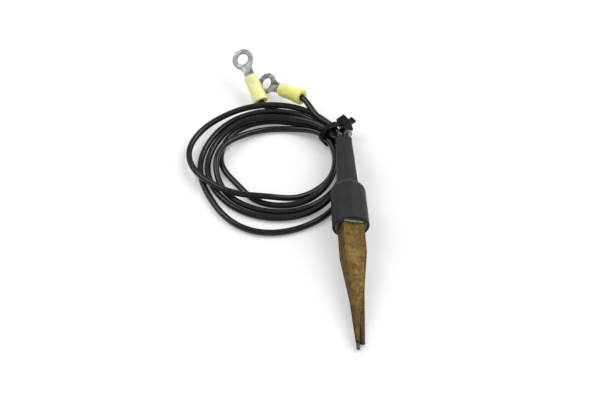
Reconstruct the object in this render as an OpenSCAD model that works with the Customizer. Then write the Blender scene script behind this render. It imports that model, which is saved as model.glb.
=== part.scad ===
// Two-blade contact probe on a pair of coiled leads that end in ring terminals.
// Millimetres. X right, Y away from the tip, Z up. The probe lies with its tip
// and its leads on the plane z = 0, and the origin is below its middle.

/* [Blades] */
// Length of a blade from the sleeve mouth to its nose
blade_len = 55; // [40:1:75]
// Width of a blade where it leaves the sleeve
blade_w = 9.6; // [7.6:0.1:9.7]
// Width of a blade at its nose
nose_w = 2.6; // [2.4:0.1:3.2]
// Height of the closed pair where it leaves the sleeve
pair_h = 9.1; // [7.6:0.1:9.3]
// Height of the pair at the noses
nose_h = 2.6; // [2.4:0.1:3.2]
// Length of full width in front of the mouth, before the taper
straight_len = 14; // [6:1:20]
// Thickness of the brass sheet
sheet_t = 0.5; // [0.4:0.05:0.6]
// Outside radius of the folds along a blade
fold_r = 1.3; // [1:0.1:1.4]
// Gap between the two blades along their seam, at the mouth
seam_gap = 0.4; // [0.3:0.1:1]
// The same gap, carried on to the noses
seam_end = 1.2; // [0.4:0.1:1.8]
// Length behind the nose where the inner flange starts to run out
runout = 14; // [10:1:18]
// Length behind the nose where the inner edge leaves the other pin its room
draw_in = 6; // [4:0.5:7]
// Depth of the blades inside the sleeve
root_depth = 8; // [6:0.5:9]
// Turn of the blades about the axis of the sleeve
blade_roll = 15; // [0:1:30]

/* [Contact pins] */
// Diameter of a contact pin
pin_d = 1.55; // [1.2:0.05:1.7]
// Reach of the upper pin past the blade nose
upper_reach = 3.2; // [1:0.1:6]
// Reach of the lower pin past the blade nose
lower_reach = 0.9; // [0.5:0.1:6]
// Length of a pin that is brazed under the nose
pin_seat = 12; // [6:0.5:12]
// Gap between the two pins, side by side
pin_gap = 0.25; // [0.2:0.05:0.8]

/* [Tangs and joints] */
// Width of the solder tang behind a blade
tang_w = 4.4; // [3:0.1:5]
// Length of the solder tang
tang_len = 5; // [3:0.5:7]
// Diameter of the stripped conductor
core_d = 1.5; // [1:0.1:1.8]
// Working clearance around the blades and other moving pieces
run_gap = 0.3; // [0.25:0.05:0.4]

/* [Grip sleeve] */
// Outer diameter at the mouth
mouth_d = 15.6; // [15.4:0.1:18]
// Outer diameter before the rear shoulder
shoulder_d = 14.9; // [14.5:0.1:18]
// Length from the mouth to the end of the rear shoulder
grip_len = 20.4; // [19.5:0.1:26]
// Radius of the rear shoulder
shoulder_r = 3.2; // [2:0.1:4]
// Wall of the shrunk tube
grip_wall = 0.9; // [0.8:0.05:1]

/* [Lead sleeve] */
// Outer diameter where it leaves the grip sleeve
neck_d = 9.4; // [8.8:0.1:10]
// Length behind the shoulder of the grip sleeve
lead_sleeve_len = 25.7; // [20:0.1:30]
// Length tucked into the grip sleeve
tuck_len = 2.6; // [2:0.1:3]
// Wall of the shrunk tube
lead_wall = 0.5; // [0.4:0.05:0.7]

/* [Leads] */
// Outer diameter of a lead
wire_d = 2.7; // [2.3:0.1:2.8]
// Clear gap between two turns that lie together
turn_gap = 0.45; // [0.45:0.05:0.8]
// Radius of lane 0 of the coil
coil_r = 25; // [24:0.5:40]

/* [Cable tie] */
// Width of the strap
strap_w = 2.9; // [2:0.1:3.6]
// Thickness of the strap
strap_t = 1.1; // [0.8:0.1:1.4]
// Width of the head, along the bundle
head_w = 5.8; // [4.5:0.1:7]
// Length of the head, along the strap
head_len = 6.6; // [4.5:0.1:7.5]
// Height of the head above the bundle
head_h = 4.3; // [3:0.1:5]
// How far the head stands off the packed leads
head_lift = 1.1; // [0.6:0.1:2]
// Length of the cut end that stands out of the head
stub_len = 2.9; // [1:0.1:6]

/* [Ring terminals] */
// Stud hole diameter
stud_d = 5.2; // [3.2:0.1:6.4]
// Outer diameter of the ring
ring_d = 9.8; // [8.8:0.1:12]
// Thickness of the tongue
tongue_t = 1.0; // [0.8:0.1:1.2]
// Width of the tongue at its neck
tongue_w = 4.5; // [3.6:0.1:4.6]
// Distance from the rear of the insulation to the stud centre
terminal_len = 23.1; // [20:0.1:28]
// Length of the vinyl insulation
vinyl_len = 13.2; // [11:0.1:14]
// Outer diameter of the vinyl insulation
vinyl_d = 6.8; // [6.2:0.1:7.4]
// Outer diameter of the crimped barrel
barrel_d = 4.7; // [4.5:0.1:5]
// Length of lead inside the vinyl insulation
grip_in = 4; // [2:0.5:5]

/* [Hidden] */
$fn = 48;

// How the probe lies: its axis falls by this much towards the tip.
tilt = 8;
tip_reach = blade_len + upper_reach;
rear_reach = grip_len + lead_sleeve_len;
mouth_y = (tip_reach - rear_reach) * cos(tilt) / 2;

// ---------------------------------------------------------------- helpers

function unit(v) = v / norm(v);
function blend(a, b, t) = a * (1 - t) + b * t;
function ramp(x, x0, x1) = min(1, max(0, (x - x0) / (x1 - x0)));

// Point of the smooth curve that a list of handles draws out, t from 0 to 1.
function curve_at(h, t) =
    len(h) == 1 ? h[0] :
    curve_at([for (i = [0:len(h) - 2]) blend(h[i], h[i + 1], t)], t);

// Point between p1 and p2 on a smooth curve through four points.
function through(p0, p1, p2, p3, t) =
    (2 * p1 + (p2 - p0) * t + (2 * p0 - 5 * p1 + 4 * p2 - p3) * t * t
    + (3 * p1 - 3 * p2 + p3 - p0) * t * t * t) / 2;

// Arc as a list of points.
function arc(c, r, a0, a1, n) =
    [for (i = [0:n]) c + r * [cos(a0 + (a1 - a0) * i / n), sin(a0 + (a1 - a0) * i / n)]];

// Ring of n points round p, square to direction d, with one pair of sides level.
function tube_ring(p, d, r, n) =
    let (side = unit(cross(d, [0, 0, 1])), top = cross(side, d))
    [for (i = [0:n - 1]) p + r * (side * cos(360 * i / n) + top * sin(360 * i / n))];

// End of a skin: one face, or, on a folded section, a strip between its outside
// points and the same number on its inside, which run back.
function skin_end(n, folded) = folded
    ? [for (i = [0:n / 2 - 2]) [i, i + 1, n - 2 - i, n - 1 - i]]
    : [[for (i = [0:n - 1]) i]];

// Skin over a list of rings that all have as many points.
module skin(rings, folded = false) {
    m = len(rings);
    n = len(rings[0]);
    polyhedron(
        points = [for (ring = rings) each ring],
        faces = [
            for (f = skin_end(n, folded)) [for (i = [len(f) - 1:-1:0]) f[i]],
            for (k = [0:m - 2], i = [0:n - 1], h = [0, 1])
                let (j = (i + 1) % n, a = k * n, b = a + n)
                h == 0 ? [a + i, b + j, b + i] : [a + i, a + j, b + j],
            for (f = skin_end(n, folded)) [for (i = f) (m - 1) * n + i]
        ],
        convexity = 6
    );
}

// Round tube along a path whose first and last stretches are straight.
module tube(path, r, n) {
    last = len(path) - 1;
    skin([for (i = [0:last])
        tube_ring(path[i], unit(path[min(i + 1, last)] - path[max(i - 1, 0)]), r, n)]);
}

// The probe's own frame: z runs out of the mouth to the tip, y is up, x right.
module probe_frame() {
    translate([0, mouth_y, mouth_z]) rotate([90 + tilt, 0, 0]) children();
}

// The same frame, turned with the blades.
module blade_frame() {
    probe_frame() rotate([0, 0, -blade_roll]) children();
}

// The lower blade and its pieces are the upper ones, turned half round.
module lower() {
    blade_frame() rotate([0, 0, 180]) children();
}

// Where a point of the probe's frame lies.
function from_probe(p) = [
    p.x,
    mouth_y - p.z * cos(tilt) - p.y * sin(tilt),
    mouth_z - p.z * sin(tilt) + p.y * cos(tilt)
];

// ---------------------------------------------------------------- sleeves

// Clearance of a piece that is bonded or shrunk in place.
bond_gap = 0.1;
rim_r = 0.35;
shoulder_bore = neck_d / 2 + bond_gap;
shoulder_c = [shoulder_d / 2 - shoulder_r, shoulder_r - grip_len];

// Outer radius of the grip sleeve at a depth behind its mouth.
function grip_out(z) = blend(mouth_d, shoulder_d, ramp(-z, 0, grip_len - shoulder_r)) / 2;

// Half section: up the outside, over the shoulder, and back down the bore.
grip_section = concat(
    arc([mouth_d / 2 - rim_r, -rim_r], rim_r, 90, 0, 4),
    arc(shoulder_c, shoulder_r, 0, -acos((shoulder_bore - shoulder_c.x) / shoulder_r), 8),
    arc(shoulder_c, shoulder_r - grip_wall,
        -acos((shoulder_bore - shoulder_c.x) / (shoulder_r - grip_wall)), 0, 6),
    [[mouth_d / 2 - grip_wall, 0]]
);

module grip_sleeve() {
    color([0.26, 0.27, 0.29])
    probe_frame()
    rotate_extrude()
    polygon(grip_section);
}

// Section of the lead sleeve: round at the neck, drawn flat over the two leads
// at the rear. z falls from the tucked front end to the rear end.
lead_front = tuck_len - grip_len;
lead_steps = 8;
lead_pitch = wire_d + 0.25;
tail_r = wire_d / 2 + bond_gap + lead_wall;
function lead_ring(z, wall) =
    let (
        t = ramp(-z, grip_len, rear_reach),
        r = blend(neck_d / 2, tail_r, t) - wall,
        apart = blend(0, lead_pitch / 2, t)
    )
    [for (i = [0:35]) let (c = cos(10 * i))
        [r * c + apart * min(1, max(-1, 2 * c)), r * sin(10 * i), z]];

module lead_skin(wall, over) {
    skin([for (i = [0:lead_steps])
        let (z = blend(lead_front + over, -rear_reach - over, i / lead_steps))
        lead_ring(z, wall)]);
}

module lead_sleeve() {
    color([0.25, 0.26, 0.27])
    probe_frame()
    difference() {
        lead_skin(0, 0);
        lead_skin(lead_wall, 0.5);
    }
}

// ---------------------------------------------------------------- blades

// Outer half width, outer height, flange foot and sideways shift at a reach z.
function taper(z) = ramp(z, straight_len, blade_len);
least_lip = 0.1;
function half_w(z) = blend(blade_w, nose_w, taper(z)) / 2;
function top_h(z) = blend(pair_h, nose_h, taper(z)) / 2;
function seam(z) = blend(seam_gap, seam_end, ramp(z, 0, blade_len)) / 2;
function outer_foot(z) = min(seam(z), top_h(z) - sheet_t - least_lip);
function inner_foot(z) = min(
    blend(seam(z), top_h(z) - sheet_t, ramp(z, blade_len - runout, blade_len - draw_in)),
    top_h(z) - sheet_t - least_lip);
nose_shift = -(pin_d + pin_gap) / 2;
// The outer edge tapers evenly. The inner edge draws in behind the nose, to
// leave the other blade's pin its room.
function outer_x(z) = nose_shift * taper(z) - half_w(z);
function inner_x(z) = blend(nose_shift * taper(z) + half_w(z), -pin_gap / 2,
                            ramp(z, blade_len - runout, blade_len - draw_in));
function span(z) = (inner_x(z) - outer_x(z)) / 2;
function bend_r(z) = min(fold_r, span(z) * 0.8, top_h(z) - inner_foot(z) - least_lip / 2);

// Folded channel section at a reach z: outside left foot, over the top, right
// foot, and back along the inside.
function channel_ring(z) =
    let (
        a = span(z), h = top_h(z), fo = outer_foot(z), fi = inner_foot(z),
        r = bend_r(z), q = max(r - sheet_t, least_lip / 2), x = outer_x(z) + a,
        outer = concat(
            [[-a, fo]], arc([r - a, h - r], r, 180, 90, 3),
            arc([a - r, h - r], r, 90, 0, 3), [[a, fi]]),
        b = a - sheet_t, g = h - sheet_t,
        inner = concat(
            [[b, fi]], arc([b - q, g - q], q, 0, 90, 3),
            arc([q - b, g - q], q, 90, 180, 3), [[-b, fo]])
    )
    [for (p = concat(outer, inner)) [p.x + x, p.y, z]];

blade_stations = concat(
    [-root_depth, 0, straight_len - 4],
    [for (i = [0:8]) blend(straight_len, blade_len - runout, i / 8)],
    [for (i = [1:4]) blend(blade_len - runout, blade_len, i / 4)]
);

module channel() {
    skin([for (z = blade_stations) channel_ring(z)], folded = true);
}

// Flat tang behind the top face, for the conductor.
module tang() {
    translate([-tang_w / 2, pair_h / 2 - sheet_t, -root_depth - tang_len])
    cube([tang_w, sheet_t, tang_len + 1]);
}

module blade() {
    color([0.55, 0.45, 0.25])
    union() {
        channel();
        tang();
    }
}

module upper_blade() { blade_frame() blade(); }
module lower_blade() { lower() blade(); }

// The pair stands on the rounded outer corner of the lower nose, at z = 0.
nose_bend = bend_r(blade_len);
nose_low = nose_bend + (nose_h / 2 - nose_bend) * cos(blade_roll)
    + (-outer_x(blade_len) - nose_bend) * sin(blade_roll);
mouth_z = blade_len * sin(tilt) + nose_low * cos(tilt);

// Round-nosed pin, brazed along the underside of the nose.
nose_slope = atan((pair_h - nose_h) / 2 / (blade_len - straight_len));
module contact_pin(reach) {
    color([0.5, 0.5, 0.5])
    translate([nose_shift, nose_h / 2 - sheet_t - least_lip, blade_len])
    rotate([nose_slope, 0, 0])
    translate([0, -pin_d / 2, -pin_seat])
    rotate_extrude()
    polygon(concat([[0, 0], [pin_d / 2, 0]],
        arc([0, pin_seat + reach - pin_d / 2], pin_d / 2, 0, 90, 8)));
}

module upper_contact_pin() { blade_frame() contact_pin(upper_reach); }
module lower_contact_pin() { lower() contact_pin(lower_reach); }

// ---------------------------------------------------------------- inside the sleeve

potting_front = -0.3;
pocket_depth = root_depth + tang_len + run_gap;
potting_floor = 1.6;
least_ring = 0.2;
pocket_r = min(
    norm([blade_w / 2 - fold_r, pair_h / 2 - fold_r]) + fold_r + run_gap,
    grip_out(-pocket_depth) - grip_wall - bond_gap - least_ring);
solder_t = 0.15;
core_y = pair_h / 2 - sheet_t - solder_t - core_d / 2;
jacket_end = -pocket_depth - potting_floor - 0.5;

// The leads start to part from the probe just inside the lead sleeve's end.
part_reach = rear_reach - wire_d + 0.3;

// Adhesive that fills the sleeve round the blades and behind them.
module mouth_potting() {
    color([0.72, 0.68, 0.58])
    difference() {
        probe_frame()
        rotate_extrude()
        polygon([
            [0, potting_front],
            [grip_out(potting_front) - grip_wall - bond_gap, potting_front],
            [grip_out(jacket_end) - grip_wall - bond_gap, -pocket_depth - potting_floor],
            [0, -pocket_depth - potting_floor]
        ]);
        blade_frame()
        intersection() {
            translate([-blade_w / 2 - run_gap, -pair_h / 2 - run_gap, -pocket_depth])
            cube([blade_w + 2 * run_gap, pair_h + 2 * run_gap, pocket_depth + 1]);
            cylinder(r = pocket_r, h = 4 * pocket_depth, center = true);
        }
        for (a = [0, 180])
            blade_frame() rotate([0, 0, a])
            translate([0, core_y, -2 * pocket_depth])
            cylinder(r = core_d / 2 + run_gap, h = 2 * pocket_depth);
    }
}

// Insulating bar between the two blades, standing on the potting's floor.
module blade_spacer() {
    spacer_w = blade_w - 2 * sheet_t - 2;
    spacer_h = 2 * (core_y - core_d / 2 - solder_t - run_gap);
    color([0.85, 0.82, 0.74])
    blade_frame()
    translate([-spacer_w / 2, -spacer_h / 2, -pocket_depth])
    cube([spacer_w, spacer_h, pocket_depth + potting_front]);
}

// Stripped conductor: along the tang and through the floor of the potting.
module conductor() {
    color([0.72, 0.45, 0.3])
    translate([0, core_y, -pocket_depth - potting_floor])
    cylinder(d = core_d, h = potting_floor + run_gap + tang_len - 0.5);
}

module upper_conductor() { blade_frame() conductor(); }
module lower_conductor() { lower() conductor(); }

// Solder round the conductor, on the tang.
module solder() {
    color([0.7, 0.7, 0.72])
    translate([0, 0, -root_depth - tang_len + 0.5])
    linear_extrude(tang_len - 1)
    difference() {
        polygon([
            [-tang_w / 2 + 0.3, pair_h / 2 - sheet_t], [tang_w / 2 - 0.3, pair_h / 2 - sheet_t],
            [core_d / 2 + 2 * solder_t, core_y - core_d / 2 - solder_t],
            [-core_d / 2 - 2 * solder_t, core_y - core_d / 2 - solder_t]
        ]);
        translate([0, core_y]) circle(d = core_d);
    }
}

module upper_solder() { blade_frame() solder(); }
module lower_solder() { lower() solder(); }

// The part of a lead that the sleeves hold.
module sleeved_lead(side) {
    color([0.06, 0.06, 0.06])
    probe_frame()
    translate([side * lead_pitch / 2, 0, -part_reach])
    cylinder(d = wire_d, h = part_reach + jacket_end);
}

module sleeved_lead_a() { sleeved_lead(1); }
module sleeved_lead_b() { sleeved_lead(-1); }

// ---------------------------------------------------------------- coiled leads

// The turns lie in lanes, from the inside out, and in levels above the table.
pitch = wire_d + turn_gap;
coil_x = -30;
coil_y = 50.8;
rest_z = wire_d / 2;
function lane_r(lane) = coil_r + pitch * lane;
function level_z(level) = rest_z + pitch * max(level, 0);

// All turns pass the tie at this angle, packed round its middle. The strap
// round them stands on the table.
strap_gap = 0.25;
tie_angle = 30.5;
tie_lane = 1.5;
row = sqrt(3) / 2;
tie_level = row + (strap_gap + strap_t) / pitch;
slot_outer = [1, 0];
slot_inner = [-1, 0];
slot_middle = [0, 0];
slot_low_in = [-0.5, -row];
slot_low_out = [0.5, -row];
slot_top_in = [-0.5, row];
slot_top_out = [0.5, row];
function slot(s) = [tie_lane, tie_level] + s;

// Lane and level of each turn at every eighth of the way round from the tie.
turns_a = [
    slot(slot_outer),
    [3.1, 1.3], [3.4, 1.35], [4.25, 0.7], [1.15, 1.15], [-1.15, 1.05], [-1.0, 0.1], [0.1, 0],
    slot(slot_low_in),
    [1.15, 0], [1.1, 0], [-0.25, 0], [-1.8, 0], [-0.8, 0], [0.15, 0.3], [0.45, 1.05],
    slot(slot_inner),
    [-0.3, 0.05], [-0.65, 0.4], [0.05, 1.05], [0.3, 0.05], [0.55, 0], [1.15, 0], [1.5, 0],
    slot(slot_low_out)
];
turns_b = [
    slot(slot_top_in),
    [0.8, 1.2], [1.1, 1.2], [1.35, 0.2], [1.35, 0], [1.7, 0], [2.2, 0.3], [1.75, 1.15],
    slot(slot_middle),
    [2.15, 0.95], [2.3, 0.9], [2.4, 0.1], [2.6, 0], [4.45, 0], [3.75, 0], [2.95, 1.35],
    slot(slot_top_out)
];
rings_per_eighth = 3;

// Point of a coil after k rings from the tie.
function coil_point(turns, k) =
    let (
        last = len(turns) - 1,
        s = k / rings_per_eighth,
        i = min(floor(s), last - 1),
        p = through(turns[max(i - 1, 0)], turns[i], turns[i + 1],
                    turns[min(i + 2, last)], s - i),
        a = tie_angle + 45 * s,
        r = lane_r(p[0])
    )
    [coil_x + r * cos(a), coil_y + r * sin(a), level_z(p[1])];

tie_dir = [-sin(tie_angle), cos(tie_angle), 0];
function coil_path(turns) =
    let (n = (len(turns) - 1) * rings_per_eighth,
         start = coil_point(turns, 0), end = coil_point(turns, n))
    concat(
        [start, start + tie_dir * wire_d / 2],
        [for (k = [1:n - 1]) coil_point(turns, k)],
        [end - tie_dir * wire_d / 2, end]
    );
coil_a = coil_path(turns_a);
coil_b = coil_path(turns_b);

// Least clear distance between rings of two turns of one coil.
rings_per_turn = 8 * rings_per_eighth;
function self_gap(path) = min([
    for (i = [0:len(path) - 1], j = [0:len(path) - 1])
        if (j > i + rings_per_turn / 2) norm(path[i] - path[j]) - wire_d
]);
function cross_gap(p, q) = min([for (a = p, b = q) norm(a - b) - wire_d]);
echo(coil_a_least_gap = self_gap(coil_a), coil_b_least_gap = self_gap(coil_b));
echo(between_coils_least_gap = cross_gap(coil_a, coil_b));

module coil(path) {
    color([0.07, 0.07, 0.07]) tube(path, wire_d / 2, 6);
}

module lead_coil_a() { coil(coil_a); }
module lead_coil_b() { coil(coil_b); }

// ---------------------------------------------------------------- ring terminals

// Where each terminal's rear end lies, and its heading, climb and roll.
place_a = [-34.7, 89.9, 4.0];
turn_a = [110.6, 20.3, -26];
place_b = [-16.2, 86.2, 9.3];
turn_b = [133.8, -14.0, -41];

function heading(turn) =
    [cos(turn[0]) * cos(turn[1]), sin(turn[0]) * cos(turn[1]), sin(turn[1])];

// Terminal frame: x runs from the rear of the insulation to the stud hole.
module terminal_frame(place, turn) {
    translate(place) rotate([0, 0, turn[0]]) rotate([0, -turn[1], 0]) rotate([turn[2], 0, 0])
    children();
}

barrel_start = grip_in + 1.2;
support_bore = wire_d + 0.7;
entry_len = 4.6;
neck_start = vinyl_len - 1;
core_end = neck_start - 1.2;

// Ring, tongue and crimped barrel, stamped from one tinned strip.
module ring_terminal() {
    color([0.75, 0.75, 0.73])
    difference() {
        union() {
            translate([barrel_start, 0, 0]) rotate([0, 90, 0])
            cylinder(d = barrel_d, h = neck_start - barrel_start);
            hull() {
                translate([neck_start - 0.1, 0, 0]) rotate([0, 90, 0])
                cylinder(d = barrel_d, h = 0.1, $fn = 32);
                translate([vinyl_len + 1.4, -tongue_w / 2, -tongue_t / 2])
                cube([0.1, tongue_w, tongue_t]);
            }
            translate([vinyl_len, -tongue_w / 2, -tongue_t / 2])
            cube([terminal_len - vinyl_len - stud_d / 2 - 0.3, tongue_w, tongue_t]);
            linear_extrude(tongue_t, center = true)
            polygon([
                [vinyl_len + 1.5, -tongue_w / 2],
                [terminal_len - ring_d / 2 + 1.8, -ring_d / 2 + 1.15],
                [terminal_len - ring_d / 2 + 1.8, ring_d / 2 - 1.15],
                [vinyl_len + 1.5, tongue_w / 2]
            ]);
            translate([terminal_len, 0, 0])
            cylinder(d = ring_d, h = tongue_t, center = true);
        }
        translate([terminal_len, 0, 0])
        cylinder(d = stud_d, h = 3 * tongue_t, center = true);
        translate([barrel_start - 1, 0, 0]) rotate([0, 90, 0])
        cylinder(d = core_d + bond_gap, h = core_end + 0.3 - barrel_start + 1);
    }
}

// Vinyl insulation: a wider entry for the lead and a barrel cover.
module terminal_vinyl() {
    cover_d = vinyl_d - 0.4;
    color([0.97, 0.93, 0.6])
    rotate([0, 90, 0])
    rotate_extrude()
    polygon([
        [support_bore / 2, 0], [vinyl_d / 2 - 0.3, 0], [vinyl_d / 2, 0.3],
        [vinyl_d / 2, entry_len], [cover_d / 2, entry_len + 0.5],
        [cover_d / 2, vinyl_len - 0.3], [cover_d / 2 - 0.3, vinyl_len],
        [barrel_d / 2 + bond_gap, vinyl_len], [barrel_d / 2 + bond_gap, barrel_start - 0.1],
        [support_bore / 2, barrel_start - 0.1]
    ]);
}

// Stripped strands, pressed in the barrel.
module crimped_core() {
    color([0.72, 0.45, 0.3])
    translate([grip_in, 0, 0]) rotate([0, 90, 0])
    cylinder(d = core_d, h = core_end - grip_in);
}

module ring_terminal_a() { terminal_frame(place_a, turn_a) ring_terminal(); }
module ring_terminal_b() { terminal_frame(place_b, turn_b) ring_terminal(); }
module terminal_vinyl_a() { terminal_frame(place_a, turn_a) terminal_vinyl(); }
module terminal_vinyl_b() { terminal_frame(place_b, turn_b) terminal_vinyl(); }
module crimped_core_a() { terminal_frame(place_a, turn_a) crimped_core(); }
module crimped_core_b() { terminal_frame(place_b, turn_b) crimped_core(); }

// ---------------------------------------------------------------- free stretches

// A stretch starts and ends straight, and its handles draw the curve between.
function stretch(from, from_dir, handles, to, to_dir, steps) =
    let (a = from + from_dir * wire_d, b = to - to_dir * wire_d,
         h = concat([a], handles, [b]))
    concat([from], [for (i = [0:steps]) curve_at(h, i / steps)], [to]);

axis_up = [0, cos(tilt), sin(tilt)];
exit_a = from_probe([lead_pitch / 2, 0, -part_reach]);
exit_b = from_probe([-lead_pitch / 2, 0, -part_reach]);
tie_in_a = coil_a[0];
tie_in_b = coil_b[0];
tie_out_a = coil_a[len(coil_a) - 1];
tie_out_b = coil_b[len(coil_b) - 1];
dir_a = heading(turn_a);
dir_b = heading(turn_b);

entry_a = stretch(exit_a, axis_up,
                  [[0.6, 57.7, 14.7], [3.3, 58.2, 15.1], [4.7, 62, 8.3], [3.1, 62.4, 6.1]],
                  tie_in_a, tie_dir, 8);
entry_b = stretch(exit_b, axis_up, [[-1.6, 56.9, 15.2], [-0.3, 59.1, 11.5], [-2.1, 58.6, 9]],
                  tie_in_b, tie_dir, 7);
tail_a = stretch(tie_out_a, tie_dir,
                 [[-8.2, 73.1, 2.4], [-12.4, 77.9, -0.3], [-10, 85, 3.7],
                  [-26.2, 83.2, 4.8], [-23.2, 86.1, -2.6], [-33.9, 85.5, 2.9]],
                 place_a + dir_a * grip_in, dir_a, 11);
tail_b = stretch(tie_out_b, tie_dir,
                 [[-5.7, 71.2, 8.2], [-13.7, 74, 7.5], [-10.6, 79.8, 9], [-15.6, 85.6, 9.5]],
                 place_b + dir_b * grip_in, dir_b, 9);

module free_lead(path) {
    color([0.07, 0.07, 0.07]) tube(path, wire_d / 2, 8);
}

module lead_entry_a() { free_lead(entry_a); }
module lead_entry_b() { free_lead(entry_b); }
module lead_tail_a() { free_lead(tail_a); }
module lead_tail_b() { free_lead(tail_b); }

// ---------------------------------------------------------------- cable tie

head_base = pitch * row + wire_d / 2 + strap_gap + head_lift;
head_angle = 15;

// Outline round the packed bundle, at a distance outside its leads. Under the
// head the strap leaves the leads and runs straight up to it.
module bundle_outline(out) {
    hull() {
        for (a = [0:60:300])
            translate([pitch * cos(a), pitch * sin(a)])
            circle(r = wire_d / 2 + out, $fn = 24);
        rotate([0, 0, head_angle])
        for (side = [-1, 1])
            translate([head_base - strap_gap, side * head_len / 4])
            circle(r = out, $fn = 24);
    }
}

// Strap, head and cut end are one nylon moulding: x points away from the
// middle of the coil, y up, z along the leads.
module cable_tie() {
    color([0.04, 0.04, 0.04])
    translate([coil_x + lane_r(tie_lane) * cos(tie_angle),
               coil_y + lane_r(tie_lane) * sin(tie_angle), level_z(tie_level)])
    rotate([0, 0, tie_angle]) rotate([90, 0, 0]) mirror([0, 0, 1]) {
        linear_extrude(strap_w, center = true)
        difference() {
            bundle_outline(strap_gap + strap_t);
            bundle_outline(strap_gap);
        }
        rotate([0, 0, head_angle]) {
            difference() {
                translate([head_base, -head_len / 2, -head_w / 2])
                cube([head_h, head_len, head_w]);
                translate([head_base + strap_t, -strap_t, -strap_w / 2 - 0.2])
                cube([head_h, 2 * strap_t, strap_w + 0.4]);
            }
            translate([head_base + strap_t / 2, -strap_t, -strap_w / 2])
            cube([head_h - strap_t / 2 + stub_len, strap_t, strap_w]);
        }
    }
}

grip_sleeve();
lead_sleeve();
mouth_potting();
blade_spacer();
upper_blade();
lower_blade();
upper_contact_pin();
lower_contact_pin();
upper_conductor();
lower_conductor();
upper_solder();
lower_solder();
sleeved_lead_a();
sleeved_lead_b();
lead_entry_a();
lead_coil_a();
lead_tail_a();
lead_entry_b();
lead_coil_b();
lead_tail_b();
cable_tie();
ring_terminal_a();
ring_terminal_b();
terminal_vinyl_a();
terminal_vinyl_b();
crimped_core_a();
crimped_core_b();
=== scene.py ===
"""Two-blade contact probe on coiled leads: the finished surfaces, in metres.

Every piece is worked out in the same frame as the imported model, and stands
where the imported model's node stands.
"""
import math

import bpy
import numpy as np
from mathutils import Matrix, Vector


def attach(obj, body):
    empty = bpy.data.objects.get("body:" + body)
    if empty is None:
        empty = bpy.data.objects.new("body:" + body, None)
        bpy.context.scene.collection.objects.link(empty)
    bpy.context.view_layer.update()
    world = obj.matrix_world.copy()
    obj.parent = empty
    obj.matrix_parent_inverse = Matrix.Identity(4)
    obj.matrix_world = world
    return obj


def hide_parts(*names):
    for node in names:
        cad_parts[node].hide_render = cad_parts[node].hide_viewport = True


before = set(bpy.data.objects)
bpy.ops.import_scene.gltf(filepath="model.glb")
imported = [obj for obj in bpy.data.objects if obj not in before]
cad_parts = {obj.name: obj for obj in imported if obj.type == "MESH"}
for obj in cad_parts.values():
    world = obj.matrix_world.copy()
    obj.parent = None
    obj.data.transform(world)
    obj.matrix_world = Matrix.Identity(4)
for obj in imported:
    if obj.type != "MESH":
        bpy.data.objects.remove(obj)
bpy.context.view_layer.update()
scene = bpy.context.scene


# ---------------------------------------- camera
# It looks down over the tip, with the probe a little right of the middle and
# the coil on the left. A long lens keeps the blades nearly parallel.
AZIMUTH = math.radians(-2.775)
ELEVATION = math.radians(46.5)
AIM = Vector((-0.01984, 0.03148, 0.0))
DISTANCE = 0.650

back = Vector((
    math.sin(AZIMUTH) * math.cos(ELEVATION),
    -math.cos(AZIMUTH) * math.cos(ELEVATION),
    math.sin(ELEVATION),
))
lens = bpy.data.cameras.new("camera")
lens.sensor_width = 36.0
lens.lens = 90.83
lens.clip_end = 20.0
camera = bpy.data.objects.new("camera", lens)
camera.location = AIM + DISTANCE * back
camera.rotation_euler = (-back).to_track_quat("-Z", "Y").to_euler()
scene.collection.objects.link(camera)
scene.camera = camera


# ---------------------------------------- leads
# Two flexible stranded wires in glossy black jackets. Lead A takes three turns
# and lead B two, packed through one tie, and each ends in a ring terminal.
WIRE = 0.0027  # outside diameter
TURN_GAP = 0.00045  # between two turns that lie together
PITCH = WIRE + TURN_GAP
TUBE_SIDES = 20
COIL_CENTRE = np.array([-0.030, 0.0508])
COIL_RADIUS = 0.025  # of lane 0
TIE_ANGLE = 30.5  # where the tie holds the coil, in degrees round its centre
STRAP_GAP = 0.00025  # between the strap and the leads
STRAP_T = 0.0011
ROW = math.sqrt(3) / 2  # from one packed row of leads to the next, in pitches
TIE_LANE = 1.5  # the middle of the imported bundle
TIE_LEVEL = ROW + (STRAP_GAP + STRAP_T) / PITCH
TIE_DIR = np.array([-math.sin(math.radians(TIE_ANGLE)), math.cos(math.radians(TIE_ANGLE)), 0.0])
TILT = math.radians(8)  # of the probe, whose rear end stands higher
GRIP_LEN = 0.0204
REAR_REACH = 0.0461  # from the mouth of the grip sleeve to the lead sleeve's rear end
TIP_REACH = 0.0582  # from the mouth to the upper pin's tip
MOUTH_HEIGHT = 0.0093394  # at which the lower blade's nose touches the table
MOUTH = np.array([0.0, (TIP_REACH - REAR_REACH) * math.cos(TILT) / 2, MOUTH_HEIGHT])
LEAD_PITCH = 0.00295  # between the two leads where they leave the lead sleeve
RUN_ON = 0.0003  # how far they run on straight behind it
PART_REACH = REAR_REACH - WIRE + RUN_ON  # where the seen leads start, still inside it
GRIP_IN = 0.004  # length of lead inside a terminal's insulation


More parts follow.
